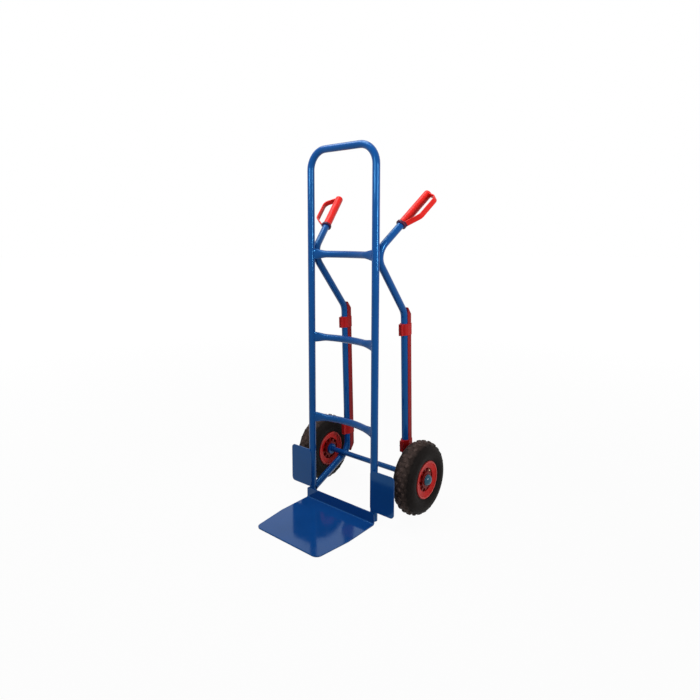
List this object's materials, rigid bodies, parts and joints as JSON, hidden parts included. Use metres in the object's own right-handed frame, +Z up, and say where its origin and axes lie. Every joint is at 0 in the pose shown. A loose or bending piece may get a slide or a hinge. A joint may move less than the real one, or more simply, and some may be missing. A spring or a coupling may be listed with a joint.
{
  "type": "hand truck",
  "caption": "Upright hand truck with a bent tube frame, flat toe plate, pneumatic wheels, guarded hand grips and stair skid rails for moving stacked loads.",
  "frame": {"origin": "on the floor, midway between the two legs of the hoop", "axes": "+Z up, +X to the truck's right as seen from the toe plate side, +Y from the toe plate towards the wheels"},
  "size_m": [0.553, 0.5787, 1.303],
  "materials": {
    "blue_paint": "gloss",
    "red_plastic": "gloss",
    "dark_red_plastic": "satin",
    "clip_plastic": "satin",
    "rim_plastic": "satin",
    "blue_plastic": "gloss",
    "tyre_rubber": "matt",
    "tube_rubber": "matt",
    "valve_brass": "satin",
    "zinc_steel": "zinc plated",
    "bearing_steel": "ground",
    "bearing_plastic": "matt"
  },
  "bodies": {
    "frame": {"axle": "blue_paint", "axle_collar_left": "blue_paint", "axle_collar_right": "blue_paint", "axle_washer_left": "zinc_steel", "axle_washer_right": "zinc_steel", "clip_screws": "zinc_steel", "crossbar_lower": "blue_paint", "crossbar_middle": "blue_paint", "crossbar_upper": "blue_paint", "grip_left": "red_plastic", "grip_right": "red_plastic", "hub_cap_left": "blue_plastic", "hub_cap_right": "blue_plastic", "main_hoop": "blue_paint", "side_tube_left": "blue_paint", "side_tube_right": "blue_paint", "skid_clip_lower_left": "clip_plastic", "skid_clip_lower_right": "clip_plastic", "skid_clip_upper_left": "clip_plastic", "skid_clip_upper_right": "clip_plastic", "skid_rail_left": "dark_red_plastic", "skid_rail_right": "dark_red_plastic", "toe_plate": "blue_paint", "wheel_guard_left": "blue_paint", "wheel_guard_right": "blue_paint"},
    "wheel_left": {"tyre_left": "tyre_rubber", "inner_tube_left": "tube_rubber", "valve_cap_left": "valve_brass", "rim_outer_left": "rim_plastic", "rim_inner_left": "rim_plastic", "rim_bolts_left": "zinc_steel", "rim_nuts_left": "zinc_steel", "bearing_cage_left": "bearing_plastic", "bearing_rollers_left": "bearing_steel"},
    "wheel_right": {"tyre_right": "tyre_rubber", "inner_tube_right": "tube_rubber", "valve_cap_right": "valve_brass", "rim_outer_right": "rim_plastic", "rim_inner_right": "rim_plastic", "rim_bolts_right": "zinc_steel", "rim_nuts_right": "zinc_steel", "bearing_cage_right": "bearing_plastic", "bearing_rollers_right": "bearing_steel"}
  },
  "joints": [
    {"name": "wheel_left_spin", "type": "hinge", "parent": "frame", "child": "wheel_left", "pos_m": [-0.227, 0.158, 0.133], "axis": [1, 0, 0], "continuous": true},
    {"name": "wheel_right_spin", "type": "hinge", "parent": "frame", "child": "wheel_right", "pos_m": [0.227, 0.158, 0.133], "axis": [1, 0, 0], "continuous": true}
  ]
}
